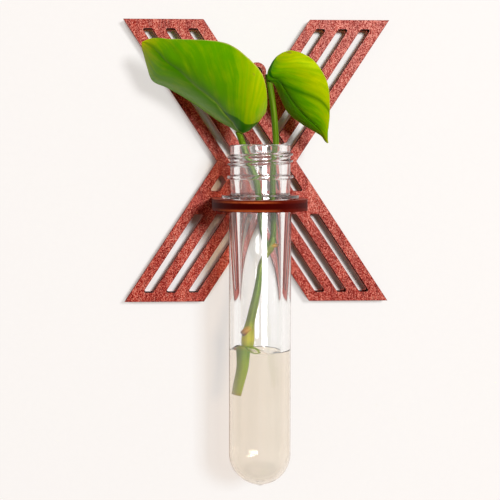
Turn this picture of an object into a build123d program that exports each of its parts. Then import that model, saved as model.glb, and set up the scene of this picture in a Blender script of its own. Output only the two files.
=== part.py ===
from build123d import *

import os
from math import cos, radians, sin

# Plywood sheet and its fits
sheet_thickness = 4.8
tab_clearance = 0.1
cut_overrun = 5.0

# Back plate, a diagonal cross of two slotted strokes, measured level and upright
plate_height = 125.0
arm_reach = 41.2
arm_width = 35.3
bar_width = 5.5
slot_count = 3
end_margin = 4.1
slot_fillet = 0.7
crossing_slit = 2.0
crossing_margin = 2.0

# Hanging eye, the round tongue in the upper crotch of the cross
eye_rise = 12.825
eye_outer_radius = 4.1
eye_hole_radius = 2.2
eye_slot_drop = 8.0

# Shelf that carries the tube, tabbed into the plate
shelf_sink = 16.0
shelf_radius = 20.1
shelf_tab_width = 16.0
band_margin = 2.7
tube_standoff = 20.7
hole_clearance = 0.6

# Clear tube with a bottle neck, a round bottom and the nub that moulding leaves under it
finish_height = 22.9
hang_length = 122.1
body_radius = 13.15
inner_radius = 9.0
floor_thickness = 4.2
gate_radius = 1.7
gate_height = 0.6
bore_radius = 9.2
bore_depth = 20.0
bore_taper = 6.0
neck_radius = 12.8
lip_fillet = 0.6
bead_radius = 14.1
bead_height = 1.5
bead_drop = 13.6
flange_radius = 16.5
flange_thickness = 1.7
flange_fillet = 0.4

# Water in the tube
water_drop = 87.1
water_gap = 0.2

# Cutting that stands in the tube
cutting_depth = 106.2
stem_radius = 1.6
petiole_radius = 1.35
graft_gap = 0.15
bud_radius = 0.9
stub_radius = 1.2

# Leaves, each measured from its base to its tip
left_leaf_length = 55.5
left_leaf_heading = 138.4
right_leaf_length = 38.7
right_leaf_heading = -48.4
leaf_thickness = 0.5
leaf_gap = 0.35

# Places that follow from the sizes above, with the eye's back rim as the origin
stroke_lean = arm_reach / (plate_height / 2)
crotch_z = -eye_rise
plate_middle = crotch_z - arm_width / 2 / stroke_lean
plate_top = plate_middle + plate_height / 2
plate_bottom = plate_middle - plate_height / 2
slot_pitch = (arm_width - bar_width) / slot_count
slot_width = slot_pitch - bar_width
corner_fillet = min(slot_fillet, slot_width / 4)
shelf_top = plate_middle - shelf_sink
shelf_bottom = shelf_top - sheet_thickness
band_top = shelf_top + band_margin
band_bottom = shelf_bottom - band_margin
axis_y = -sheet_thickness - tube_standoff
lip_z = shelf_top + finish_height
tube_bottom = shelf_top - hang_length
dome_z = tube_bottom + body_radius
water_z = lip_z - water_drop
tube_axis = Axis((0, axis_y, 0), (0, 0, 1))
tube_plane = Plane.XZ.offset(-axis_y)
toward_viewer = Vector(0, -1, 0)


# Helpers for the plate
def stroke_x(lean, shift, z):
    """Level place, at height z, of a line beside a stroke's middle: lean 1 rises to the right."""
    return lean * stroke_lean * (z - plate_middle) + shift


def meeting_z(rising_shift, falling_shift):
    """Height where a line along the rising stroke meets a line along the falling one."""
    return plate_middle + (falling_shift - rising_shift) / (2 * stroke_lean)


def outline(points):
    """Fills a closed outline in the current sketch."""
    with BuildLine() as border:
        Polyline(*points, close=True)
    make_face(border.edges())


def level_slot(lean, shift, low_z, high_z):
    """Slot along a stroke with level ends."""
    left = shift - slot_width / 2
    right = shift + slot_width / 2
    return [
        (stroke_x(lean, left, low_z), low_z),
        (stroke_x(lean, right, low_z), low_z),
        (stroke_x(lean, right, high_z), high_z),
        (stroke_x(lean, left, high_z), high_z),
    ]


def crossing_slot(shift, edge, end_z):
    """Slot along the rising stroke that runs from a level end to the falling stroke's edge."""
    left = shift - slot_width / 2
    right = shift + slot_width / 2
    left_z = meeting_z(left, edge)
    right_z = meeting_z(right, edge)
    return [
        (stroke_x(1, left, end_z), end_z),
        (stroke_x(1, left, left_z), left_z),
        (stroke_x(1, right, right_z), right_z),
        (stroke_x(1, right, end_z), end_z),
    ]


def crossing_foot(first_shift, last_shift, edge):
    """Narrow slit along the falling stroke's edge that joins the feet of two slots."""
    first = first_shift - slot_width / 2
    last = last_shift + slot_width / 2
    corners = [(first, edge), (last, edge), (last, edge - crossing_slit), (first, edge - crossing_slit)]
    return [(stroke_x(1, rise, meeting_z(rise, fall)), meeting_z(rise, fall)) for rise, fall in corners]


# Back plate
slot_shifts = [(index - (slot_count - 1) / 2) * slot_pitch for index in range(slot_count)]
falling_edge = arm_width / 2

with BuildPart() as back_plate:
    with BuildSketch(Plane.XZ):
        for lean in (-1, 1):
            half = arm_width / 2
            outline(
                [
                    (stroke_x(lean, -half, plate_bottom), plate_bottom),
                    (stroke_x(lean, half, plate_bottom), plate_bottom),
                    (stroke_x(lean, half, plate_top), plate_top),
                    (stroke_x(lean, -half, plate_top), plate_top),
                ]
            )
        Circle(eye_outer_radius)
        tongue_foot = crotch_z - bar_width
        outline(
            [
                (-eye_outer_radius, 0),
                (-eye_outer_radius, tongue_foot),
                (eye_outer_radius, tongue_foot),
                (eye_outer_radius, 0),
            ]
        )
        Circle(eye_hole_radius, mode=Mode.SUBTRACT)
        with Locations((0, shelf_top - sheet_thickness / 2)):
            mortise_width = shelf_tab_width + 2 * tab_clearance
            mortise_height = sheet_thickness + 2 * tab_clearance
            Rectangle(mortise_width, mortise_height, mode=Mode.SUBTRACT)
    extrude(amount=sheet_thickness)
    with BuildSketch(Plane.XZ.offset(-cut_overrun)) as slots:
        for shift in slot_shifts:
            outline(level_slot(-1, shift, band_top, plate_top - end_margin))
            for lean in (-1, 1):
                outline(level_slot(lean, shift, plate_bottom + end_margin, band_bottom))
        outline(level_slot(1, slot_shifts[0], -eye_slot_drop, plate_top - end_margin))
        for shift in slot_shifts[1:]:
            outline(crossing_slot(shift, falling_edge, plate_top - end_margin))
        outline(crossing_foot(slot_shifts[1], slot_shifts[-1], falling_edge))
        outline(crossing_slot(slot_shifts[0], -falling_edge - crossing_margin, band_top))
        fillet(slots.vertices(), corner_fillet)
    extrude(amount=sheet_thickness + 2 * cut_overrun, mode=Mode.SUBTRACT)
back_plate.part.label = "back_plate"

# Shelf, a round-nosed tongue with a hole for the tube and a tab for the plate
with BuildPart() as shelf:
    with BuildSketch(Plane.XY.offset(shelf_bottom)):
        outline(
            [
                (-shelf_radius, -sheet_thickness),
                (-shelf_radius, axis_y),
                (shelf_radius, axis_y),
                (shelf_radius, -sheet_thickness),
            ]
        )
        outline(
            [
                (-shelf_tab_width / 2, 0),
                (-shelf_tab_width / 2, axis_y),
                (shelf_tab_width / 2, axis_y),
                (shelf_tab_width / 2, 0),
            ]
        )
        with Locations((0, axis_y)):
            Circle(shelf_radius)
            Circle(body_radius + hole_clearance, mode=Mode.SUBTRACT)
    extrude(amount=sheet_thickness)
shelf.part.label = "shelf"

# Tube, one turned profile from the lip round the bottom and back up the bore
with BuildPart() as tube:
    with BuildSketch(tube_plane) as wall:
        bead_low = lip_z - bead_drop - bead_height / 2
        bead_high = lip_z - bead_drop + bead_height / 2
        flange_top = shelf_top + flange_thickness
        bore_end = lip_z - bore_depth
        floor_z = tube_bottom + floor_thickness
        inner_dome_z = floor_z + inner_radius
        with BuildLine():
            Polyline(
                (bore_radius, lip_z),
                (neck_radius, lip_z),
                (neck_radius, bead_high),
                (bead_radius, bead_high),
                (bead_radius, bead_low),
                (neck_radius, bead_low),
                (neck_radius, flange_top),
                (flange_radius, flange_top),
                (flange_radius, shelf_top),
                (body_radius, shelf_top),
                (body_radius, dome_z),
            )
            RadiusArc((body_radius, dome_z), (0, tube_bottom), body_radius)
            Line((0, tube_bottom), (0, floor_z))
            RadiusArc((0, floor_z), (inner_radius, inner_dome_z), -inner_radius)
            Polyline(
                (inner_radius, inner_dome_z),
                (inner_radius, bore_end - bore_taper),
                (bore_radius, bore_end),
                (bore_radius, lip_z),
            )
        make_face()
        gate_end = tube_bottom - gate_height
        gate_root = tube_bottom + floor_thickness / 2
        outline([(0, gate_root), (gate_radius, gate_root), (gate_radius, gate_end), (0, gate_end)])
        fillet(wall.vertices().group_by(Axis.Y)[-1], lip_fillet)
        rims = wall.vertices().group_by(Axis.X)[-1]
        fillet(rims, flange_fillet)
    revolve(axis=tube_axis)
tube.part.label = "tube"


# Helpers for the cutting
def tube_point(place):
    """Point of the cutting: level shares of the tube's bore, and a share of its depth below the lip."""
    across, back, down = place
    return Vector(across * inner_radius, axis_y + back * inner_radius, lip_z - down * cutting_depth)


def onward(start, end, reach):
    """Point that lies a given reach past the end of a run."""
    return end + (end - start).normalized() * reach


def peg(start, end, radius):
    """Short straight shoot."""
    with BuildSketch(Plane(origin=start, z_dir=end - start)) as section:
        Circle(radius)
    extrude(section.sketch, amount=(end - start).length)


def shoot(points, radii, mode=Mode.ADD):
    """Tapering shoot: round sections square to the route, lofted from its cut end to its top."""
    sections = []
    for index, radius in enumerate(radii):
        before = points[max(index - 1, 0)]
        after = points[min(index + 1, len(points) - 1)]
        level = toward_viewer.cross(after - before)
        with BuildSketch(Plane(origin=points[index], x_dir=level, z_dir=after - before)) as section:
            Circle(radius)
        sections.append(section.sketch)
    loft(sections, ruled=True, mode=mode)


def blade(base, heading, hand, length, section_shares):
    """Leaf blade: thin bowed sections across the midrib, lofted from the lobes to the tip."""
    forward = Vector(cos(radians(heading)), 0, sin(radians(heading)))
    across = Vector(-sin(radians(heading)), 0, cos(radians(heading))) * hand
    sections = []
    for along, left, left_depth, right, right_depth, bow in section_shares:
        low = Vector(left, left_depth) * length
        high = Vector(right, right_depth) * length
        chord = (high - low).normalized()
        outward = Vector(-chord.Y, chord.X)
        crown = (low + high) * 0.5 + outward * (bow * length)
        inset = outward * leaf_thickness
        origin = base + forward * (along * length)
        with BuildSketch(Plane(origin=origin, x_dir=across, z_dir=across.cross(toward_viewer))) as section:
            with BuildLine():
                ThreePointArc(low, crown, high)
                Line(high, high - inset)
                ThreePointArc(high - inset, crown - inset, low - inset)
                Line(low - inset, low)
            make_face()
        sections.append(section.sketch)
    loft(sections)


# Routes of the shoots, where a fourth number swells the stem as a share of its radius
stem_shares = [
    (-0.770, 0.03, 1.000, 0.97),
    (-0.725, 0.02, 0.949, 0.98),
    (-0.650, 0.00, 0.885, 1.02),
    (-0.605, 0.00, 0.825, 1.25),
    (-0.585, 0.00, 0.780, 1.70),
    (-0.540, 0.01, 0.745, 1.55),
    (-0.480, 0.02, 0.715, 1.20),
    (-0.330, 0.06, 0.660, 1.12),
    (-0.150, 0.10, 0.590, 1.00),
    (-0.040, 0.14, 0.535, 0.90),
    (0.060, 0.17, 0.480, 0.85),
    (0.330, 0.21, 0.437, 0.95),
    (0.497, 0.24, 0.412, 1.30),
    (0.610, 0.25, 0.393, 1.00),
    (0.665, 0.26, 0.372, 0.84),
]
left_fork_shares = [(0.467, 0.22, 0.415), (0.215, 0.15, 0.370)]
left_petiole_shares = [
    (0.045, 0.07, 0.305),
    (-0.050, 0.00, 0.230),
    (-0.205, -0.04, 0.135),
    (-0.520, -0.05, 0.065),
    (-0.805, -0.06, 0.000),
    (-1.040, -0.30, -0.050),
]
right_petiole_shares = [
    (0.700, 0.28, 0.300),
    (0.660, 0.28, 0.200),
    (0.665, 0.27, 0.088),
    (0.755, 0.20, -0.004),
    (0.700, 0.12, -0.083),
    (0.543, 0.02, -0.190),
    (0.347, -0.115, -0.280),
]
bud_shares = [(0.578, 0.24, 0.402), (0.840, 0.25, 0.402)]
stub_shares = [(-0.500, -0.02, 0.735), (-0.785, -0.06, 0.752)]

# Leaf sections: place along the midrib, both margins and the bow between them, as shares of the length
left_leaf_shares = [
    (-0.056, 0.080, 0.010, 0.225, 0.060, 0.010),
    (-0.043, 0.035, 0.000, 0.255, 0.085, 0.030),
    (0.000, 0.000, -0.012, 0.308, 0.135, 0.066),
    (0.085, -0.014, -0.115, 0.380, 0.190, 0.112),
    (0.265, -0.040, -0.300, 0.436, 0.215, 0.149),
    (0.470, -0.058, -0.355, 0.421, 0.190, 0.145),
    (0.645, -0.102, -0.342, 0.329, 0.130, 0.120),
    (0.760, -0.130, -0.300, 0.239, 0.060, 0.085),
    (0.850, -0.088, -0.245, 0.172, -0.010, 0.050),
    (0.940, -0.029, -0.190, 0.114, -0.080, 0.022),
    (0.995, -0.004, -0.165, 0.056, -0.130, 0.006),
]
right_leaf_shares = [
    (-0.064, 0.140, 0.060, 0.228, 0.085, 0.010),
    (-0.040, 0.062, 0.035, 0.297, 0.100, 0.030),
    (0.020, -0.028, 0.020, 0.362, 0.118, 0.065),
    (0.120, -0.014, -0.060, 0.413, 0.130, 0.100),
    (0.270, -0.043, -0.210, 0.444, 0.130, 0.128),
    (0.470, -0.082, -0.255, 0.407, 0.100, 0.122),
    (0.640, -0.063, -0.230, 0.316, 0.050, 0.090),
    (0.790, -0.015, -0.190, 0.188, -0.010, 0.050),
    (0.910, 0.010, -0.150, 0.076, -0.080, 0.018),
    (0.990, 0.000, -0.130, 0.016, -0.115, 0.003),
]

# Stem with its two swollen joints, the leaf bud, the old leaf's stub and the fork to the left leaf
stem_route = [tube_point(place[:3]) for place in stem_shares]
stem_radii = [place[3] * stem_radius for place in stem_shares]
left_fork = [tube_point(place) for place in left_fork_shares]

with BuildPart() as stem:
    shoot(stem_route, stem_radii)
    peg(*left_fork, petiole_radius)
    peg(*[tube_point(place) for place in bud_shares], bud_radius)
    peg(*[tube_point(place) for place in stub_shares], stub_radius)
stem.part.label = "stem"

# Petioles, each carrying on from its end of the stem
left_start = onward(*left_fork, graft_gap)
left_petiole_route = [left_start] + [tube_point(place) for place in left_petiole_shares]
left_petiole_route.insert(1, onward(*left_fork, 2 * petiole_radius))
with BuildPart() as left_petiole:
    shoot(left_petiole_route, [petiole_radius] * len(left_petiole_route))
left_petiole.part.label = "left_petiole"

right_start = onward(*stem_route[-2:], graft_gap)
right_petiole_route = [right_start] + [tube_point(place) for place in right_petiole_shares]
right_petiole_route.insert(1, onward(*stem_route[-2:], 2 * petiole_radius))
with BuildPart() as right_petiole:
    shoot(right_petiole_route, [petiole_radius] * len(right_petiole_route))
right_petiole.part.label = "right_petiole"

# Leaves
leaf_standoff = petiole_radius + leaf_thickness + leaf_gap
left_leaf_base = left_petiole_route[-1] + toward_viewer * leaf_standoff
with BuildPart() as left_leaf:
    blade(left_leaf_base, left_leaf_heading, -1, left_leaf_length, left_leaf_shares)
left_leaf.part.label = "left_leaf"

right_leaf_base = right_petiole_route[-1] + toward_viewer * leaf_standoff
with BuildPart() as right_leaf:
    blade(right_leaf_base, right_leaf_heading, 1, right_leaf_length, right_leaf_shares)
right_leaf.part.label = "right_leaf"

# Water, filling the tube's round bottom round the stem
with BuildPart() as water:
    with BuildSketch(tube_plane):
        water_radius = inner_radius - water_gap
        water_floor = floor_z + water_gap
        with BuildLine():
            RadiusArc((0, water_floor), (water_radius, inner_dome_z), -water_radius)
            Polyline((water_radius, inner_dome_z), (water_radius, water_z), (0, water_z), (0, water_floor))
        make_face()
    revolve(axis=tube_axis)
    pocket_end = onward(stem_route[1], stem_route[0], water_gap)
    pocket_radii = [radius + water_gap for radius in stem_radii]
    shoot([pocket_end] + stem_route[1:], pocket_radii, mode=Mode.SUBTRACT)
water.part.label = "water"

# One file for each piece
os.makedirs("parts", exist_ok=True)
for piece in (back_plate, shelf, tube, water, stem, left_petiole, right_petiole, left_leaf, right_leaf):
    export_step(piece.part, f"parts/{piece.part.label}.step")
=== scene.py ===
# %% [markdown]
# # A propagation vase on a wall
#
# A slotted plywood cross hangs on a wall. Its round shelf carries a clear tube with a bottle neck,
# and in the tube's water stands a cutting with two leaves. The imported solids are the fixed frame:
# the plywood keeps its solids, and the tube, the water and the plant are drawn again as finer
# surfaces on the same places, each worked out with numpy as a function of two parameters.

# %% Load the frame and keep its box
import math
import bpy
import numpy as np
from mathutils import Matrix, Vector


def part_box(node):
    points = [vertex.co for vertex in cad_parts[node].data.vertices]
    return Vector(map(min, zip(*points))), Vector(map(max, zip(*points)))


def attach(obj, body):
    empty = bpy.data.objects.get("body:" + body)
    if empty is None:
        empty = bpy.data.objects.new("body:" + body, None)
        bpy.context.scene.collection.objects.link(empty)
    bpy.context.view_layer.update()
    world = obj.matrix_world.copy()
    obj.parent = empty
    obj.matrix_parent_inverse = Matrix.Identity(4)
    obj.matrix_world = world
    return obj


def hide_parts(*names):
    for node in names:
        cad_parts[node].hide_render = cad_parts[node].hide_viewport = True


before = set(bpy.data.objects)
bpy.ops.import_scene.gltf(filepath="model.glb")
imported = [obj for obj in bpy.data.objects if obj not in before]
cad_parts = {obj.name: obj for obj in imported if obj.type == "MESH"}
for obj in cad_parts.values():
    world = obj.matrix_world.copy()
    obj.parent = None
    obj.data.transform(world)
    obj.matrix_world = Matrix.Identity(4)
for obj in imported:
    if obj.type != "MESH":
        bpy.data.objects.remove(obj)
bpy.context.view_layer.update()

# %% [markdown]
# ## Places that the other cells share
#
# Sizes are easiest to read in millimetres, so `MM` turns them into metres. The tube's axis, lip and
# bottom and the shelf's top are read from the frame, so every new piece lands on its solid.

# %% Shared places
MM = 0.001
TOWARD_VIEWER = np.array([0.0, -1.0, 0.0])
tube_low, tube_high = np.array(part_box("tube"))
shelf_low, shelf_high = np.array(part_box("shelf"))
axis_x, axis_y = (tube_low[:2] + tube_high[:2]) / 2
lip_z = tube_high[2]
tube_bottom = tube_low[2]
shelf_top = shelf_high[2]
water_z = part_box("water")[1][2]
print("tube axis", axis_x, axis_y, "lip", lip_z, "shelf top", shelf_top, "water", water_z)

# %% [markdown]
# ## A helper for surfaces
#
# Everything round or leafy here is a grid of points: rows run along the piece and columns run round
# or across it. `surface` joins neighbours in the grid into faces and gives them a UV map with the
# same two directions, so that a finish can follow the piece.


# %% Surface helper
def surface(name, points, round_piece=False, ends=()):
    """Mesh over a grid of points: each square of four neighbours is a face. A round piece joins its
    last column to its first, and each end named in ends ("first", "last") gets a fan to its middle."""
    rows, columns = points.shape[:2]
    steps = columns if round_piece else columns - 1
    row, column = np.meshgrid(np.arange(rows - 1), np.arange(steps), indexing="ij")
    after = (column + 1) % columns
    here, above = row * columns, (row + 1) * columns
    corners = [here + column, here + after, above + after, above + column]
    face_list = np.stack(corners, axis=-1).reshape(-1, 4).tolist()
    across = np.stack([column, column + 1, column + 1, column], axis=-1).reshape(-1, 4) / steps
    along = np.stack([row, row, row + 1, row + 1], axis=-1).reshape(-1, 4) / (rows - 1)
    vertices = points.reshape(-1, 3)
    uv = np.stack([across, along], axis=-1).reshape(-1, 2)
    ring = np.arange(steps)
    for end in ends:
        end_row = 0 if end == "first" else rows - 1
        base = end_row * columns
        pole = len(vertices)
        vertices = np.vstack([vertices, points[end_row].mean(axis=0)])
        turn = (ring + 1) % columns
        pair = (turn, ring) if end == "first" else (ring, turn)
        fan = np.stack([base + pair[0], base + pair[1], np.full(steps, pole)], axis=-1)
        face_list += fan.tolist()
        spokes = np.stack([*pair, ring], axis=-1) / steps
        fan_uv = np.stack([spokes, np.full_like(spokes, end_row / (rows - 1))], axis=-1)
        uv = np.vstack([uv, fan_uv.reshape(-1, 2)])
    mesh = bpy.data.meshes.new(name)
    mesh.from_pydata(vertices.tolist(), [], face_list)
    mesh.polygons.foreach_set("use_smooth", np.ones(len(mesh.polygons), dtype=bool))
    layer = mesh.uv_layers.new(name="surface")
    layer.data.foreach_set("uv", uv.ravel())
    mesh.validate()
    piece = bpy.data.objects.new(name, mesh)
    bpy.context.scene.collection.objects.link(piece)
    print(name, len(mesh.vertices), "points", len(mesh.polygons), "faces")
    return piece


# %% [markdown]
# ## Helpers for finishes
#
# A finish is a small graph of nodes. `node` makes one node and joins it to the nodes before it in
# one call; `tint` turns a screen colour into the linear numbers that shaders use; `ramp` lays colours
# along a 0 to 1 value, and `overlay` lays one colour over another.


# %% Nodes and numbers
def tint(red, green, blue):
    """Linear colour of a screen colour: the usual curve with a power of 2.4."""
    screen = np.array([red, green, blue]) / 255
    linear = np.where(screen <= 0.04045, screen / 12.92, ((screen + 0.055) / 1.055) ** 2.4)
    return (*linear.tolist(), 1.0)


def tints(*stops):
    """Stops of a ramp from rows of a place and a screen colour."""
    return [(place, tint(*colour)) for place, *colour in stops]


def finish_named(name):
    """Empty material and its node tree."""
    material = bpy.data.materials.new(name)
    material.use_nodes = True
    material.node_tree.nodes.clear()
    return material, material.node_tree


def node(tree, kind, inputs=None, **settings):
    """One shader node: settings are its own switches, inputs are numbers, colours or sockets to join."""
    made = tree.nodes.new("ShaderNode" + kind)
    for key, value in settings.items():
        setattr(made, key, value)
    for key, value in (inputs or {}).items():
        if isinstance(value, bpy.types.NodeSocket):
            tree.links.new(value, made.inputs[key])
        else:
            made.inputs[key].default_value = value
    return made


def calc(tree, operation, *values):
    """Result socket of one sum on numbers or sockets."""
    return node(tree, "Math", dict(enumerate(values)), operation=operation).outputs[0]


def remap(tree, value, low, high, first=0.0, last=1.0):
    """Socket that runs from first to last while a value runs from low to high, held flat outside."""
    settings = {0: value, 1: low, 2: high, 3: first, 4: last}
    return node(tree, "MapRange", settings).outputs[0]


NOISE_MIDDLE = 0.5


def swing(tree, value, strength, base):
    """Socket of a base plus strength times how far a noise stands from its middle."""
    return calc(tree, "MULTIPLY_ADD", calc(tree, "SUBTRACT", value, NOISE_MIDDLE), strength, base)


print("middle grey in linear numbers", tint(128, 128, 128))


# %% Colours and skins
def ramp(tree, factor, stops):
    """Colour socket of a ramp with the given (place, colour) stops."""
    made = node(tree, "ValToRGB", {"Fac": factor})
    while len(made.color_ramp.elements) < len(stops):
        made.color_ramp.elements.new(1.0)
    for element, (place, colour) in zip(made.color_ramp.elements, stops):
        element.position = place
        element.color = colour
    return made.outputs["Color"]


def blend(tree, factor, first, second):
    """Colour socket of two colours mixed by a factor."""
    return node(tree, "Mix", {0: factor, 6: first, 7: second}, data_type="RGBA").outputs[2]


def overlay(tree, below, mask, strength, colour):
    """Colour socket with a colour laid over the one below where a mask is set, as strongly as told."""
    return blend(tree, calc(tree, "MULTIPLY", mask, strength), below, colour)


def noise(tree, coordinates, scale, detail=3.0, roughness=0.55, stretch=(1, 1, 1)):
    """Value socket of soft noise, stretched along the axes by a mapping."""
    mapped = node(tree, "Mapping", {"Vector": coordinates, "Scale": stretch})
    settings = {"Vector": mapped.outputs[0], "Scale": scale, "Detail": detail, "Roughness": roughness}
    return node(tree, "TexNoise", settings).outputs["Fac"]


def close(tree, shader):
    """Joins a shader node to the material's output."""
    tree.links.new(shader.outputs[0], node(tree, "OutputMaterial").inputs["Surface"])


def close_glossy(tree, colour, roughness, height, relief, level, shine):
    """Ends a finish as an opaque skin with bumps from a height and a shine of its own colour."""
    looks = {
        "Base Color": colour,
        "Roughness": roughness,
        "Normal": node(tree, "Bump", {"Height": height, **relief}).outputs[0],
        "Specular IOR Level": level,
        "Specular Tint": shine,
    }
    close(tree, node(tree, "BsdfPrincipled", looks))


def paint(piece, material):
    """Gives a piece one material in place of all others."""
    piece.data.materials.clear()
    piece.data.materials.append(material)


# %% [markdown]
# ## Stained plywood
#
# The cross and the shelf are laser-cut from thin three-ply board with a red-brown stain. A face shows
# ribbons, speckle and short dark pores along the grain, and a thin burnt rim at each cut; the palest
# salmon speckle is partly painted sheen. A cut edge shows two thin veneers and a core, scorched nearly
# black, and on the shelf the veneers turn pale orange around one place. A picture of wood would smear
# over the edges. Here noise stretched along the grain draws the face, the distance through the board
# tells the plies, and the surface's own direction tells face from edge.

# %% Plywood colours
NONE = (0, 0, 0, 1)
FULL = (1, 1, 1, 1)
# Face tints run from dark red to pale salmon; the pale salmon end is grain colour and partly painted
# sheen.
FACE_TINTS = tints(
    (0.0, 92, 2, 0), (0.3, 140, 12, 4), (0.55, 186, 44, 26), (0.8, 214, 96, 74),
    (1.0, 232, 144, 122),
)
PLY_TINTS = tints(
    (0.0, 120, 30, 12), (0.24, 104, 20, 8), (0.30, 82, 8, 4), (0.70, 78, 7, 4), (0.76, 104, 20, 8),
    (1.0, 120, 30, 12),
)
VENEER_MASK = [(0.04, NONE), (0.10, FULL), (0.28, NONE), (0.72, NONE), (0.84, FULL), (0.96, NONE)]
PORE_MASK = [(0.54, NONE), (0.70, FULL)]
SHINE_TINTS = tints((0.40, 150, 50, 40), (0.58, 255, 226, 214))
PORE_TINT = tint(84, 18, 10)
RIM_TINT = tint(40, 4, 2)
SCORCH_TINT = tint(14, 1, 0)
PALE_PATCH_TINT = tint(236, 120, 62)
EDGE_SHINE = tint(110, 16, 8)
RIBBON_CONTRAST = 1.1
SPECKLE_CONTRAST = 3.2
PORE_STRENGTH = 0.55
PLY_RAGGEDNESS = 0.12
SCORCH_SCALE = 160.0
SCORCH_CONTRAST = 0.5
PALE_PATCH_CORE = 0.4
RIM_REACH = 0.5 * MM
RIM_BEND = (0.80, 0.99)
RIM_STRENGTH = 0.85
FACE_COSINE = 0.6
BOARD_ROUGHNESS = (0.36, 0.50)
EDGE_ROUGHNESS = 0.35
GRAIN_RELIEF = {"Strength": 0.6, "Distance": 0.1 * MM}
print("plywood tints", len(FACE_TINTS), "on a face", len(PLY_TINTS), "on an edge")


# %% Plywood finish
def plywood_face(tree, spot, stretches):
    """Stained veneer: ribbons plus speckle pick a tint from dark red to pale salmon, the palest partly
    painted sheen, and pores darken it.
    """
    ribbons = noise(tree, spot, 1.0, 4.0, 0.6, stretches["ribbons"])
    pores = noise(tree, spot, 1.0, 2.0, 0.7, stretches["pores"])
    speckle = noise(tree, spot, 1.0, 2.0, 0.5, stretches["speckle"])
    figure = swing(tree, ribbons, RIBBON_CONTRAST, NOISE_MIDDLE)
    figure = swing(tree, speckle, SPECKLE_CONTRAST, figure)
    pore_mask = ramp(tree, pores, PORE_MASK)
    face = overlay(tree, ramp(tree, figure, FACE_TINTS), pore_mask, PORE_STRENGTH, PORE_TINT)
    return face, pore_mask, speckle


def plywood_edge(tree, spot, through, board, speckle, pale, burn):
    """Cut edge: the depth through the board picks the ply, scorch darkens it unevenly, and the veneers
    turn pale orange around a place across the board, fading out over a reach."""
    place = node(tree, "SeparateXYZ", {0: spot})
    pale_x, pale_reach = pale
    ragged = swing(tree, speckle, PLY_RAGGEDNESS, remap(tree, place.outputs[through], *board))
    scorch = noise(tree, spot, SCORCH_SCALE, 3.0)
    burnt = calc(tree, "MULTIPLY_ADD", scorch, SCORCH_CONTRAST, burn)
    plies = blend(tree, burnt, ramp(tree, ragged, PLY_TINTS), SCORCH_TINT)
    sideways = calc(tree, "ABSOLUTE", calc(tree, "SUBTRACT", place.outputs["X"], pale_x))
    # The veneers turn pale orange around one place across the board.
    pale_patch = remap(tree, sideways, pale_reach * PALE_PATCH_CORE, pale_reach, 1.0, 0.0)
    pale_patch = calc(tree, "MULTIPLY", pale_patch, ramp(tree, ragged, VENEER_MASK))
    return overlay(tree, plies, pale_patch, scorch, PALE_PATCH_TINT)


def stained_plywood(name, through, board, stretches, pale, burn):
    """Board finish: veneer on faces that look along the axis through, plies on its edges, a burnt rim
    where a rounded normal would leave the true one, and gloss on the pale speckle."""
    material, tree = finish_named(name)
    place = node(tree, "TexCoord")
    spot = place.outputs["Object"]
    face, pore_mask, speckle = plywood_face(tree, spot, stretches)
    plies = plywood_edge(tree, spot, through, board, speckle, pale, burn)
    rounded = node(tree, "Bevel", {"Radius": RIM_REACH}, samples=6).outputs[0]
    true = node(tree, "NewGeometry").outputs["True Normal"]
    bend = node(tree, "VectorMath", {0: rounded, 1: true}, operation="DOT_PRODUCT").outputs["Value"]
    face = blend(tree, remap(tree, bend, *RIM_BEND, RIM_STRENGTH, 0.0), face, RIM_TINT)
    facing = node(tree, "SeparateXYZ", {0: place.outputs["Normal"]}).outputs[through]
    is_edge = calc(tree, "LESS_THAN", calc(tree, "ABSOLUTE", facing), FACE_COSINE)
    colour = blend(tree, is_edge, face, plies)
    gloss = remap(tree, speckle, 0.0, 1.0, *BOARD_ROUGHNESS)
    gloss = calc(tree, "MULTIPLY_ADD", is_edge, EDGE_ROUGHNESS, gloss)
    height = calc(tree, "SUBTRACT", speckle, pore_mask)
    shine = blend(tree, is_edge, ramp(tree, speckle, SHINE_TINTS), EDGE_SHINE)
    close_glossy(tree, colour, gloss, height, GRAIN_RELIEF, 1.0, shine)
    return material


grain_up = {"ribbons": (260, 260, 45), "pores": (1300, 1300, 280), "speckle": (3600, 3600, 2000)}
grain_out = {pattern: (x, z, y) for pattern, (x, y, z) in grain_up.items()}
plate_low, plate_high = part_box("back_plate")
plate_board = (plate_low[1], plate_high[1])
shelf_board = (shelf_low[2], shelf_high[2])
plate_finish = stained_plywood("plate_stain", "Y", plate_board, grain_up, (0.0, 1.0 * MM), 0.6)
shelf_finish = stained_plywood("shelf_stain", "Z", shelf_board, grain_out, (-6.0 * MM, 14.0 * MM), 0.15)
paint(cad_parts["back_plate"], plate_finish)
paint(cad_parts["shelf"], shelf_finish)
print("plywood finish on the plate and the shelf")

# %% [markdown]
# ## The clear tube
#
# The tube is moulded as one thick-walled piece: a plain body with a round bottom and the small nub
# that moulding leaves there, a support ring, a bead and a screw neck. It could be a lathe curve with
# a Screw modifier, but a grid keeps the wall closed and lets the thread rise out of the same
# surface. One profile with rounded corners runs from the nub up the outside, over the lip and down
# the bore.

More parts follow.
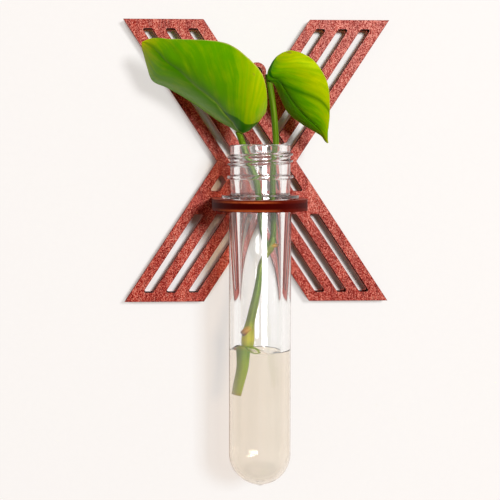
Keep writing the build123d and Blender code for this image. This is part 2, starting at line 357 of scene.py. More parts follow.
# %% Tube sizes
body_radius = 13.15 * MM
bore_radius = 9.2 * MM
inner_radius = 9.0 * MM
floor_thickness = 4.2 * MM
gate_radius = 1.7 * MM
gate_height = 0.6 * MM
neck_radius = 12.8 * MM
bead_radius = 14.1 * MM
ring_radius = 16.5 * MM
ring_thickness = 1.7 * MM
bead_drop = 13.6 * MM
bead_half = 0.75 * MM
bore_depth = 20.0 * MM
bore_taper = 6.0 * MM
round_bottom = tube_bottom + gate_height
dome_z = round_bottom + body_radius
floor_z = round_bottom + floor_thickness
inner_dome_z = floor_z + inner_radius
bead_z = lip_z - bead_drop
dome_steps = 40
pole_angle = 0.02
coarse_step = 2.0 * MM
fine_step = 0.3 * MM
least_move = 1e-9
least_gap = fine_step * 0.05
print("tube body", body_radius, "bore", inner_radius, "ring", ring_radius)


# %% Tube profile
def unit(vectors):
    """Each vector divided by its own length."""
    return vectors / np.linalg.norm(vectors, axis=-1, keepdims=True)


def rounded_profile(corners, arc_steps=7):
    """Line through (radius, height, rounding) corners, each corner replaced by a quadratic bend that
    starts and ends its rounding away from it."""
    corners = np.array(corners)
    spots = corners[:, :2]
    before = unit(spots[:-2] - spots[1:-1]) * corners[1:-1, 2:]
    after = unit(spots[2:] - spots[1:-1]) * corners[1:-1, 2:]
    share = np.linspace(0, 1, arc_steps)[None, :, None]
    bend = spots[1:-1, None] + (1 - share) ** 2 * before[:, None] + share**2 * after[:, None]
    return np.vstack([spots[:1], bend.reshape(-1, 2), spots[-1:]])


def run_along(line):
    """Length of a line up to each of its points."""
    return np.concatenate([[0], np.cumsum(np.linalg.norm(np.diff(line, axis=0), axis=1))])


def dense_profile(line, step, fine_step, fine_above):
    """The same line with extra points: no two neighbours are more than a step apart, or more than a
    fine step apart above a height."""
    run = run_along(line)
    moves = np.append(True, np.diff(run) > least_move)
    line, run = line[moves], run[moves]
    fine = np.arange(0, run[-1], fine_step)
    fine = fine[np.interp(fine, run, line[:, 1]) > fine_above]
    places = np.union1d(run, np.union1d(np.arange(0, run[-1], step), fine))
    places = places[np.append(True, np.diff(places) > least_gap)]
    return np.stack([np.interp(places, run, line[:, 0]), np.interp(places, run, line[:, 1])], axis=-1)


def dome(radius, centre_z, turn):
    """Arc of a round bottom: radius times the turn's sine out, radius times its cosine down."""
    return np.stack([radius * np.sin(turn), centre_z - radius * np.cos(turn)], axis=-1)


quarter = np.linspace(pole_angle, np.pi / 2, dome_steps)
dome_part = np.linspace(np.arcsin(gate_radius / body_radius), np.pi / 2, dome_steps)
outer_dome = dome(body_radius, dome_z, dome_part)
inner_dome = dome(inner_radius, inner_dome_z, quarter)
gate_shares = np.array([(0.1, 0.0), (0.8, 0.0), (1.0, 0.25), (1.0, 1.0)])
gate = np.array([0.0, tube_bottom]) + gate_shares * np.array([gate_radius, gate_height])
tube_corners = [
    (body_radius, dome_z, 0),
    (body_radius, shelf_top, 0.5 * MM),
    (ring_radius, shelf_top, 0.4 * MM),
    (ring_radius, shelf_top + ring_thickness, 0.5 * MM),
    (neck_radius, shelf_top + ring_thickness, 0.8 * MM),
    (neck_radius, bead_z - bead_half, 0.4 * MM),
    (bead_radius, bead_z - bead_half, 0.5 * MM),
    (bead_radius, bead_z + bead_half, 0.5 * MM),
    (neck_radius, bead_z + bead_half, 0.4 * MM),
    (neck_radius, lip_z, 0.8 * MM),
    (bore_radius, lip_z, 0.8 * MM),
    (bore_radius, lip_z - bore_depth, 2.5 * MM),
    (inner_radius, lip_z - bore_depth - bore_taper, 2.5 * MM),
    (inner_radius, inner_dome_z, 0),
]
lathe_line = dense_profile(rounded_profile(tube_corners), coarse_step, fine_step, bead_z)
profile = np.vstack([gate, outer_dome, lathe_line[1:], inner_dome[::-1][1:]])
print("tube profile", len(profile), "points")

# %% [markdown]
# ## The thread and the turned wall
#
# A screw thread is a rounded bar wound round the neck. A separate wound piece would cross the wall,
# so the wall itself swells where the helix passes: a point's distance from the helix, in half
# widths of the bar, gives the swelling. The bore gets faint ripples, as moulded walls have, so that
# what shows through the tube bends a little unevenly.

# %% Tube surface with its thread
TURN = 2 * np.pi
thread_pitch = 2.9 * MM
thread_drop = 2.45 * MM
thread_top = lip_z - thread_drop
thread_rise = 1.15 * MM
thread_half = 0.95 * MM
thread_start = 0.4 * np.pi
thread_end = 4.6 * np.pi
thread_fade = 0.5
thread_flank = 1.35
ripple_height = 0.035 * MM
around = 192


def ease(share):
    """Soft step from 0 to 1: 3s squared minus 2s cubed, held flat outside."""
    share = np.clip(share, 0, 1)
    return share * share * (3 - 2 * share)


def thread_height(heights, angles):
    """Height of the screw ridge: a rounded bar that follows a helix, thinning out at both ends."""
    tallest = np.zeros(np.broadcast(heights, angles).shape)
    for turn in range(-1, 2):
        swept = angles + turn * TURN
        offset = np.abs(heights - (thread_top - thread_pitch * swept / TURN)) / thread_half
        fade = ease((swept - thread_start) / thread_fade) * ease((thread_end - swept) / thread_fade)
        tallest = np.maximum(tallest, thread_rise * fade * ease(thread_flank * (1 - offset)))
    return tallest


def around_axis(radii, heights, angle):
    """Points about the tube's axis: radius times the cosine and the sine of the angle, and a height."""
    spots = (axis_x + radii * np.cos(angle), axis_y + radii * np.sin(angle), heights)
    return np.stack(np.broadcast_arrays(*spots), axis=-1)


angle = np.linspace(0, TURN, around, endpoint=False)[None, :]
radius, height = profile[:, :1], profile[:, 1:]
before_lip = (np.arange(len(profile)) < np.argmax(profile[:, 1]))[:, None]
on_neck = before_lip & (radius > bore_radius) & (height > bead_z)
ridge = np.where(on_neck, thread_height(height, (-angle) % TURN + TURN / 2), 0)
in_bore = (radius < bore_radius) & (radius > inner_radius / 2)
ripple = ripple_height * (np.sin(3 * angle + 0.6) + 0.6 * np.sin(7 * angle)) * in_bore
tube_points = around_axis(radius + ridge + ripple, height, angle)
clear_tube = surface("clear_tube", tube_points, round_piece=True, ends=("first", "last"))
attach(clear_tube, "tube")
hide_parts("tube")

# %% [markdown]
# ## Clear plastic
#
# The tube is clear and polished, with the faint flow lines that moulding leaves along it. A shader
# that bends light does the work, and a thin, slightly soft coat draws one even streak of a lamp. To
# rays that carry light to a surface the plastic is only tinted, more so where the wall is seen edge
# on, so that the tube throws a pale shadow with two darker lines. `any_ray` tells who is asking.

# %% Clear plastic finish
VEIL_TINTS = tints((0.0, 243, 236, 228), (0.6, 228, 216, 202), (1.0, 120, 100, 84))
FLOW_STRETCH = (300, 300, 12)
FLOW_RELIEF = {"Strength": 0.02, "Distance": 0.2 * MM}


def any_ray(tree, *kinds):
    """Socket that is 1 for rays of any of the named kinds and 0 for others."""
    flags = node(tree, "LightPath").outputs
    found = flags[f"Is {kinds[0]} Ray"]
    for kind in kinds[1:]:
        found = calc(tree, "MAXIMUM", found, flags[f"Is {kind} Ray"])
    return found


def mix_shaders(tree, factor, first, second):
    """Shader node of two shader nodes mixed by a factor."""
    return node(tree, "MixShader", {0: factor, 1: first.outputs[0], 2: second.outputs[0]})


def clear_to_light(tree, shader, shade):
    """A shader for rays that look, mixed with a tinted clear one for shadow rays and diffuse rays."""
    veil = node(tree, "BsdfTransparent", {"Color": shade})
    close(tree, mix_shaders(tree, any_ray(tree, "Shadow", "Diffuse"), shader, veil))


def clear_plastic(name):
    """Polished clear plastic: flow lines tint it faintly and bend its normal, and a coat adds gloss."""
    material, tree = finish_named(name)
    spot = node(tree, "TexCoord").outputs["Object"]
    flow = noise(tree, spot, 1.0, 0.0, 0.5, FLOW_STRETCH)
    looks = {
        "Base Color": ramp(tree, flow, tints((0.3, 250, 251, 250), (0.7, 255, 255, 255))),
        "Roughness": 0.0,
        "IOR": 1.55,
        "Transmission Weight": 1.0,
        "Coat Weight": 0.2,
        "Coat Roughness": 0.05,
        "Normal": node(tree, "Bump", {"Height": flow, **FLOW_RELIEF}).outputs[0],
    }
    plastic = node(tree, "BsdfPrincipled", looks)
    rim = node(tree, "LayerWeight", {"Blend": 0.5}).outputs["Facing"]
    clear_to_light(tree, plastic, ramp(tree, rim, VEIL_TINTS))
    return material


paint(clear_tube, clear_plastic("clear_plastic"))
print("clear plastic on the tube")

# %% [markdown]
# ## The water
#
# Water wets the tube, so its skin climbs a little at the wall and round the stem, and stands up as
# a tongue where the stem nearly touches the wall; a flat disc would look dry. The body of water is
# one closed surface that reaches a hair into the plastic, so light passes from plastic to water
# with no film of air between them, as it really does.

# %% Water surface
wetting = 0.05 * MM
climb_at_wall = 1.1 * MM
climb_at_stem = 2.0 * MM
climb_reach = 1.2 * MM
tongue_rise = 3.0 * MM
tongue_angle = math.radians(228)
tongue_spread = math.radians(62)
tongue_from = 0.45
tongue_over = 0.4
tongue_flank = 1.4
water_around = 160
water_rows = 90
skin_rows = 60
stem_spot = np.array([-5.4 * MM, axis_y])
stem_width = 2.3 * MM
water_radius = inner_radius + wetting
level_z = water_z - climb_at_wall


def water_climb(radius, angle):
    """How far the skin stands above the level: it dies away from the wall and from the stem by an
    exponential, and rises as a tongue round one angle, from a share of the radius outward."""
    at_wall = climb_at_wall * np.exp(-(water_radius - radius) / climb_reach)
    x, y = radius * np.cos(angle), axis_y + radius * np.sin(angle)
    gap = np.maximum(np.hypot(x - stem_spot[0], y - stem_spot[1]) - stem_width, 0)
    at_stem = climb_at_stem * np.exp(-gap / climb_reach)
    away = np.abs((angle - tongue_angle + np.pi) % TURN - np.pi) / tongue_spread
    outward = ease((radius - tongue_from * water_radius) / (tongue_over * water_radius))
    return np.maximum(at_wall, at_stem) + tongue_rise * ease(tongue_flank * (1 - away)) * outward


angle = np.linspace(0, TURN, water_around, endpoint=False)[None, :]
floor_line = dome(water_radius, inner_dome_z, quarter)
up_share = np.linspace(0, 1, water_rows)[1:, None]
rim = level_z + water_climb(water_radius, angle)
skin_radius = water_radius * (1 - np.linspace(0, 1, skin_rows)[1:-1, None] ** 1.5)
water_rings = np.vstack([floor_line[:, :1], np.full_like(up_share, water_radius), skin_radius])
water_heights = np.vstack(
    [
        np.repeat(floor_line[:, 1:], water_around, axis=1),
        inner_dome_z + up_share * (rim - inner_dome_z),
        level_z + water_climb(skin_radius, angle),
    ]
)
water_points = around_axis(water_rings, water_heights, angle)
water_body = surface("water_body", water_points, True, ("first", "last"))
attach(water_body, "water")
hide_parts("water")

# %% [markdown]
# ## Water finish
#
# Water that a cutting stands in takes up a trace of sap and turns faintly straw-coloured. A volume
# would be truer but grainy; tinting the light that crosses the surface gives much the same colour.


# %% Water finish
def still_water(name):
    """Clear water whose faint straw tint drifts with a soft noise."""
    material, tree = finish_named(name)
    spot = node(tree, "TexCoord").outputs["Object"]
    cloud = noise(tree, spot, 70.0, 2.0)
    looks = {
        "Base Color": ramp(tree, cloud, tints((0.3, 249, 239, 224), (0.7, 252, 243, 230))),
        "Roughness": 0.0,
        "IOR": 1.333,
        "Transmission Weight": 1.0,
    }
    clear_to_light(tree, node(tree, "BsdfPrincipled", looks), tint(252, 250, 246))
    return material


paint(water_body, still_water("still_water"))
print("water finish")

# %% [markdown]
# ## Stem and leaf stalks
#
# The cutting is soft green growth: a stem with two swollen joints, and two thin stalks that curve
# up out of the tube. A bevelled curve would be quick, but a circle carried along a smooth route as a
# grid allows ribs along the skin and a swelling at each joint. The route runs softly through a few
# points, given as shares of the bore and of the cutting's depth; the stem's fourth share is girth.

# %% Shoots
cutting_depth = 106.2 * MM
stem_radius = 1.6 * MM
stalk_radius = 1.35 * MM
stalk_taper = (0.95, 1.0)
ring_tilt = np.array([0.0, 0.0, 0.001])
rib_count = 5


def smooth_through(places, knots, wanted):
    """Soft curve through knots: between two neighbours a cubic blend, whose slope at each knot is the
    weighted difference of the knots on both sides."""
    knots = knots.reshape(len(places), -1)
    slopes = np.gradient(knots, places, axis=0)
    piece = np.clip(np.searchsorted(places, wanted, side="right") - 1, 0, len(places) - 2)
    width = (places[piece + 1] - places[piece])[:, None]
    share = (wanted[:, None] - places[piece][:, None]) / width
    rest = 1 - share
    start = rest**2 * (1 + 2 * share) * knots[piece] + rest**2 * share * width * slopes[piece]
    finish = share**2 * (1 + 2 * rest) * knots[piece + 1] - share**2 * rest * width * slopes[piece + 1]
    return start + finish


def tube_place(shares):
    """Points of the cutting from (across, back, down) shares of the bore and of the depth."""
    reach = np.array([inner_radius, inner_radius, -cutting_depth])
    return np.array([axis_x, axis_y, lip_z]) + np.array(shares)[:, :3] * reach


def shoot(name, route, radii, along=180, around=32, ribs=0.035):
    """Tapering shoot: circles square to a smooth route, with faint ribs along the skin."""
    run = run_along(route)
    wanted = np.linspace(0, run[-1], along)
    centre = smooth_through(run, route, wanted)
    girth = smooth_through(run, radii, wanted)
    ahead = unit(np.gradient(centre, axis=0))
    level = unit(np.cross(TOWARD_VIEWER + ring_tilt, ahead))
    upward = np.cross(ahead, level)
    angle = np.linspace(0, TURN, around, endpoint=False)
    ring = np.cos(angle)[None, :, None] * level[:, None] + np.sin(angle)[None, :, None] * upward[:, None]
    wave = np.sin(rib_count * angle + 1.0)[None, :] * np.sin(np.pi * wanted / run[-1])[:, None]
    ribbed = girth * (1 + ribs * wave)
    return surface(name, centre[:, None] + ribbed[:, :, None] * ring, True, ("first", "last"))


def stalk(name, shares):
    """Leaf stalk: a shoot that thickens evenly towards its leaf."""
    return shoot(name, tube_place(shares), np.linspace(*stalk_taper, len(shares)) * stalk_radius)


print("cutting reaches", cutting_depth, "below the lip")

# %% Stem and stalks
stem_shares = [
    (-0.84, 0.03, 1.0, 0.92),
    (-0.74, 0.02, 0.949, 1.08),
    (-0.63, 0.0, 0.885, 1.26),
    (-0.605, 0.0, 0.825, 1.45),
    (-0.585, 0.0, 0.78, 1.75),
    (-0.54, 0.01, 0.745, 1.55),
    (-0.48, 0.02, 0.715, 1.2),
    (-0.33, 0.06, 0.66, 1.12),
    (-0.15, 0.1, 0.59, 1.0),
    (-0.04, 0.14, 0.535, 0.9),
    (0.06, 0.17, 0.48, 0.85),
    (0.33, 0.21, 0.437, 0.95),
    (0.497, 0.24, 0.412, 1.3),
    (0.61, 0.25, 0.393, 1.0),
    (0.665, 0.26, 0.372, 0.84),
]
left_stalk_shares = [
    (0.467, 0.22, 0.415),
    (0.215, 0.15, 0.37),
    (0.045, 0.07, 0.305),
    (-0.05, 0.0, 0.23),
    (-0.205, -0.04, 0.135),
    (-0.52, -0.05, 0.065),
    (-0.805, -0.06, 0.0),
    (-1.04, -0.3, -0.05),
]
right_stalk_shares = [
    (0.61, 0.25, 0.393),
    (0.665, 0.26, 0.372),
    (0.7, 0.28, 0.3),
    (0.66, 0.28, 0.2),
    (0.665, 0.27, 0.088),
    (0.755, 0.2, -0.004),
    (0.7, 0.12, -0.083),
    (0.543, 0.02, -0.19),
    (0.347, -0.115, -0.28),
]
stem_girths = stem_radius * np.array(stem_shares)[:, 3]
stem = shoot("stem_growth", tube_place(stem_shares), stem_girths)
left_stalk = stalk("left_stalk", left_stalk_shares)
right_stalk = stalk("right_stalk", right_stalk_shares)

# %% [markdown]
# ## Buds, a stub and root nubs
#
# At its joints the stem carries a dry bud, the stub of an old leaf and two young root nubs. Small
# cones would look stuck on, so each is a short shoot that starts inside the stem and tapers.

# %% Buds, stub and root nubs
small_growths = {
    "dry_bud": ([(0.5, 0.16, 0.405), (0.74, 0.13, 0.402), (0.955, 0.1, 0.4)], (1.0, 0.9, 0.6)),
    "old_stub": ([(-0.48, -0.1, 0.73), (-0.66, -0.2, 0.74), (-0.83, -0.28, 0.752)], (1.5, 1.35, 1.2)),
    "right_nub": ([(-0.42, -0.02, 0.812), (-0.31, -0.03, 0.815), (-0.2, -0.03, 0.817)], (0.9, 0.7, 0.3)),
    "left_nub": ([(-0.72, 0.02, 0.806), (-0.84, 0.02, 0.812), (-0.93, 0.02, 0.818)], (0.9, 0.8, 0.35)),
}
growths = [
    shoot(name, tube_place(shares), np.array(radii) * MM, along=24, around=20, ribs=0.05)
    for name, (shares, radii) in small_growths.items()
]
for piece in (stem, left_stalk, right_stalk, *growths):
    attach(piece, "cutting")
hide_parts("stem")
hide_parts("left_petiole")
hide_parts("right_petiole")

# %% [markdown]
# ## Plant skin
#
# The stalks are mid green with pale and dark lines along them; the stem turns yellow-green towards its
# lower joint, with a band of painted shade just below it at the waterline, and bright green under water,
# down to a straw-coloured cut end. Buds and stubs are brown and dry. Height picks the colour, and the UV
# map draws the lines along the skin: a texture in space would run across them.

# %% Plant skin finish
stem_top_share = 0.37
cut_end_z = lip_z - cutting_depth
stem_top_z = lip_z - stem_top_share * cutting_depth
# The darker green stop at 0.28, just below the lower joint, is painted shade at the waterline.
STEM_TINTS = tints(
    (0.00, 170, 168, 20), (0.03, 166, 196, 0), (0.22, 140, 184, 0), (0.28, 100, 156, 0),
    (0.36, 206, 208, 0), (0.48, 112, 136, 0), (0.75, 80, 122, 0), (0.92, 124, 136, 10),
    (1.00, 84, 126, 0),
)
STALK_TINTS = tints((0.0, 76, 112, 0), (0.5, 70, 110, 0), (1.0, 88, 126, 0))
BARK_TINTS = tints((0.0, 196, 186, 10), (0.5, 206, 150, 10), (0.85, 150, 84, 10), (1.0, 84, 40, 8))
PALE_LINES = [(0.52, NONE), (0.72, FULL)]
DARK_LINES = [(0.30, FULL), (0.46, NONE)]
LINE_STRETCH = (22, 3, 1)
LINE_STRENGTH = 0.4
SKIN_ROUGHNESS = (0.32, 0.5)
SKIN_RELIEF = {"Strength": 0.3, "Distance": 0.1 * MM}


def plant_skin(name, stops, low, high, by_height=True):
    """Soft waxy skin: colours by height or along the piece, with pale and dark lines along it."""
    material, tree = finish_named(name)
    place = node(tree, "TexCoord")
    spot = place.outputs["Object"]
    part = node(tree, "SeparateXYZ", {0: spot if by_height else place.outputs["UV"]})
    mottle = noise(tree, spot, 700.0, 3.0)
    lines = noise(tree, place.outputs["UV"], 1.0, 2.0, 0.5, LINE_STRETCH)
    share = remap(tree, part.outputs["Z" if by_height else "Y"], low, high)
    base = ramp(tree, swing(tree, mottle, 0.05, share), stops)
    base = overlay(tree, base, ramp(tree, lines, PALE_LINES), LINE_STRENGTH, tint(186, 200, 70))
    base = overlay(tree, base, ramp(tree, lines, DARK_LINES), LINE_STRENGTH, tint(58, 92, 14))
    gloss = remap(tree, mottle, 0.0, 1.0, *SKIN_ROUGHNESS)
    close_glossy(tree, base, gloss, lines, SKIN_RELIEF, 0.3, tint(240, 255, 190))
    return material


paint(stem, plant_skin("stem_skin", STEM_TINTS, cut_end_z, stem_top_z))
stalk_skin = plant_skin("stalk_skin", STALK_TINTS, stem_top_z, lip_z)
paint(left_stalk, stalk_skin)
paint(right_stalk, stalk_skin)
bark = plant_skin("dry_bark", BARK_TINTS, 0.0, 1.0, by_height=False)
for piece in growths:
    paint(piece, bark)
print("plant skin on the stem, two stalks and", len(growths), "small growths")

# %% [markdown]
# ## The leaves
#
# Each leaf is a heart-shaped blade that arches over its midrib. Its solid is a row of thin bowed
# sections; here the same sections are blended into one smooth sheet. Along runs from the lobes to
# the tip, and across follows an arc through the two margins and a crown. A groove follows the
# midrib, low ridges lie between the side veins, and the margin waves a little. A Solidify modifier
# gives the sheet its thickness.

# %% Leaf blade as a function of two parameters
blade_rows = 150
blade_columns = 91
blade_thickness = 0.35 * MM
groove_depth = 0.009
groove_width = 0.07
vein_height = 0.0008
vein_count = 9
vein_slant = 3.2
margin_height = 0.006
margin_waves = 3.1
flattest_bow = 0.001
lobe_fade = 0.15
tip_fade = 0.25


def bowed_section(low, high, bow, share):
    """Arc through two margins whose middle stands bow above their chord, at shares -1 to 1 along it."""
    chord = high - low
    half = np.linalg.norm(chord, axis=-1, keepdims=True) / 2
    ahead = chord / (2 * half)
    outward = np.stack([-ahead[..., 1], ahead[..., 0]], axis=-1)
    radius = (half**2 + bow**2) / (2 * bow)
    sweep = 2 * np.arctan(bow / half) * share
    rise = radius * np.cos(sweep) - (radius - bow)
    spots = (low + high)[:, None] / 2 + (radius * np.sin(sweep))[..., None] * ahead[:, None]
    return spots + rise[..., None] * outward[:, None], outward


def leaf_blade(base, heading, hand, length, sections, rib_places):
    """Points of a blade: sections blended along the leaf, pushed in at the midrib by an exponential
    and moved by sine waves along the side veins and at the margins."""
    sections = np.array(sections)
    rib_places = np.array(rib_places)
    half_turn = np.linspace(0, np.pi, blade_rows)
    along = sections[0, 0] + (sections[-1, 0] - sections[0, 0]) * (1 - np.cos(half_turn)) / 2
    blended = smooth_through(sections[:, 0], sections[:, 1:], along)
    share = np.linspace(-1, 1, blade_columns)[None, :]
    bow = np.maximum(blended[:, 4:5], flattest_bow)
    spots, outward = bowed_section(blended[:, 0:2], blended[:, 2:4], bow, share)
    side = share - smooth_through(rib_places[:, 0], rib_places[:, 1], along)
    reach = np.abs(side)
    fade = (ease((along - along[0]) / lobe_fade) * ease((along[-1] - along) / tip_fade))[:, None]
    row = along[:, None]
    crease = -groove_depth * np.exp(-reach / groove_width)
    veins = vein_height * np.sin(TURN * (vein_count * row - vein_slant * reach**1.2)) * ease(reach / 0.3)
    margin = margin_height * np.sin(TURN * margin_waves * row + 1.2 * np.sign(share)) * np.abs(share) ** 6
    spots = spots + ((crease + veins + margin) * fade)[..., None] * outward[:, None]
    turn = math.radians(heading)
    ahead = np.array([math.cos(turn), 0.0, math.sin(turn)])
    across = np.array([-math.sin(turn), 0.0, math.cos(turn)]) * hand
    offset = row[..., None] * ahead + spots[..., :1] * across + spots[..., 1:] * TOWARD_VIEWER
    return base + length * offset


print("blade grid", blade_rows, "by", blade_columns)

# %% [markdown]
# ## The two blades
#
# A section is a row of shares of the leaf's length: its place along, its two margins (each across,
# and towards the viewer) and the bow between them. A rib place says where the midrib crosses:
# along, and from one margin at -1 to the other at 1. The left leaf points up and left, the right
# one down and right.

# %% Two leaves
left_sections = [
    (-0.062, 0.15, 0.034, 0.156, 0.036, 0.002),
    (-0.056, 0.08, 0.01, 0.225, 0.06, 0.01),
    (-0.043, 0.035, 0.0, 0.255, 0.085, 0.03),
    (0.0, 0.0, -0.012, 0.308, 0.135, 0.066),
    (0.085, -0.014, -0.115, 0.38, 0.19, 0.112),
    (0.265, -0.04, -0.3, 0.436, 0.215, 0.149),
    (0.47, -0.058, -0.355, 0.421, 0.19, 0.145),
    (0.645, -0.102, -0.342, 0.329, 0.13, 0.12),
    (0.76, -0.13, -0.3, 0.239, 0.06, 0.085),
    (0.85, -0.088, -0.245, 0.172, -0.01, 0.05),
    (0.94, -0.029, -0.19, 0.114, -0.08, 0.022),
    (0.985, 0.004, -0.165, 0.062, -0.126, 0.006),
    (1.0, 0.024, -0.15, 0.03, -0.144, 0.002),
]
left_ribs = [
    (-0.062, -0.98), (0.0, -0.93), (0.085, -0.55), (0.265, -0.18),
    (0.47, -0.15), (0.645, 0.05), (0.83, 0.2), (1.0, 0.3),
]
right_sections = [
    (-0.07, 0.18, 0.072, 0.186, 0.074, 0.002),
    (-0.064, 0.14, 0.06, 0.228, 0.085, 0.01),
    (-0.04, 0.062, 0.035, 0.297, 0.1, 0.03),
    (0.02, -0.028, 0.02, 0.362, 0.118, 0.065),
    (0.12, -0.014, -0.06, 0.413, 0.13, 0.1),
    (0.27, -0.043, -0.21, 0.444, 0.13, 0.128),
    (0.47, -0.082, -0.255, 0.407, 0.1, 0.122),
    (0.64, -0.063, -0.23, 0.316, 0.05, 0.09),
    (0.79, -0.015, -0.19, 0.188, -0.01, 0.05),
    (0.91, 0.01, -0.15, 0.076, -0.08, 0.018),
    (0.98, 0.002, -0.134, 0.024, -0.112, 0.004),
    (1.0, 0.006, -0.126, 0.01, -0.122, 0.002),
]
right_ribs = [
    (-0.07, -0.98), (0.0, -0.9), (0.12, -0.62), (0.27, -0.45),
    (0.47, -0.37), (0.67, -0.34), (0.85, -0.2), (1.0, 0.0),
]
left_base = np.array([-9.36, -30.40, -27.39]) * MM
right_base = np.array([3.12, -28.74, -2.96]) * MM
left_heading = 138.4
right_heading = -48.4
left_length = 55.5 * MM
right_length = 38.7 * MM
left_points = leaf_blade(left_base, left_heading, -1, left_length, left_sections, left_ribs)
right_points = leaf_blade(right_base, right_heading, 1, right_length, right_sections, right_ribs)
left_leaf = surface("left_leaf_blade", left_points)
right_leaf = surface("right_leaf_blade", right_points)
for piece, replaced in ((left_leaf, "left_leaf"), (right_leaf, "right_leaf")):
    thickness = piece.modifiers.new("thickness", "SOLIDIFY")
    thickness.thickness = blade_thickness
    thickness.offset = -1
    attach(piece, "cutting")
    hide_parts(replaced)

# %% [markdown]
# ## Leaf finish
#
# A young leaf is lime at its tip, and a slanted lime band along its outer half is painted light on the
# side the key lamp lights. It is deeper green along the midrib, with fine streaks that follow the side
# veins and a thin pale margin. Near the lobes a dark patch beside the midrib is painted shadow, where the
# raised lobe would shade the blade, a darker line across the blade is painted shade at a crease, and a
# dry spot has browned. All of this follows the blade's own UV map, so it stays on the leaf from every
# side.

# %% Leaf tones and marks
LEAF_TINTS = tints((0.0, 96, 168, 0), (0.3, 130, 182, 0), (0.65, 160, 188, 0), (1.0, 192, 204, 0))
STREAK_CONTRAST = 1.3
MOTTLE_CONTRAST = 0.8
VEIN_SWEEP = 0.75
VEIN_SCALE = (17.0, 2.0)
LIME_TIP = (0.69, 0.94)
# Soft edge of the painted shadow beside the midrib, and reach of the painted crease shade.
TROUGH_SHADOW_EDGE = (-0.004, 0.012)
FOLD_SHADE_REACH = 0.06
SPOT_EDGE = 0.02
DEEP_GREEN_REACH = 0.13
RIB_EDGE = (0.006, 0.02)
RIB_ENDS = (0.30, 0.62)
MARGIN_EDGE = (0.488, 0.497)
WAX_ROUGHNESS = (0.34, 0.5)
WAX_RELIEF = {"Strength": 0.08, "Distance": 0.2 * MM}


def lime_tones(tree, across, along, streaks, mottle, lit_wedge):
    """Greens of the blade: lime at the tip, painted light in a slanted band on the lit outer half, broken
    up by streaks and mottle.
    """
    # Painted light: a slanted lime band on the outer half that the key lamp lights.
    slanted = calc(tree, "MULTIPLY_ADD", along, -lit_wedge["slant"], across)
    lime = remap(tree, slanted, lit_wedge["start"], lit_wedge["start"] + lit_wedge["width"], 0.0, lit_wedge["strength"])
    lime = calc(tree, "MAXIMUM", lime, remap(tree, along, *LIME_TIP))
    lime = swing(tree, streaks, STREAK_CONTRAST, lime)
    return ramp(tree, swing(tree, mottle, MOTTLE_CONTRAST, lime), LEAF_TINTS)


def flat_place(tree, first, second):
    """Vector socket of two numbers."""
    return node(tree, "CombineXYZ", {0: first, 1: second}).outputs[0]


def leaf_marks(tree, green, across, along, side, mottle, trough_shadow, fold_shade, blemish):
    """Painted shadow beside the midrib near the lobes, narrowing along it; painted shade along a slanted
    crease line; and a dry spot within a distance.
    """
    # Painted shadow: a dark patch beside the midrib near the lobes, where the raised lobe would shade the
    # blade.
    crest = remap(tree, along, 0.0, trough_shadow["ends"], trough_shadow["width"], 0.0)
    inside = remap(tree, calc(tree, "SUBTRACT", crest, side), *TROUGH_SHADOW_EDGE)
    inside = calc(tree, "MULTIPLY", inside, calc(tree, "GREATER_THAN", side, 0.0))
    inside = calc(tree, "MULTIPLY", inside, calc(tree, "LESS_THAN", along, trough_shadow["ends"]))
    green = overlay(tree, green, inside, 0.85, tint(6, 98, 8))
    # Painted shade: a darker green line along a crease across the blade.
    fold_shade_line = calc(tree, "MULTIPLY_ADD", along, -fold_shade["slant"], fold_shade["slant"] * fold_shade["crosses"])
    fold_shade_gap = calc(tree, "ABSOLUTE", calc(tree, "ADD", fold_shade_line, side))
    on_fold_shade = remap(tree, fold_shade_gap, 0.0, FOLD_SHADE_REACH, fold_shade["strength"], 0.0)
    green = blend(tree, on_fold_shade, green, tint(26, 104, 4))
    beside = calc(tree, "SUBTRACT", across, blemish["across"])
    beyond = calc(tree, "SUBTRACT", along, blemish["along"])
    from_spot = node(tree, "VectorMath", {0: flat_place(tree, beside, beyond)}, operation="LENGTH")
    ragged = swing(tree, mottle, 0.12, from_spot.outputs["Value"])
    on_spot = remap(tree, ragged, blemish["radius"], blemish["radius"] + SPOT_EDGE, 0.8, 0.0)
    return blend(tree, on_spot, green, tint(150, 128, 40))


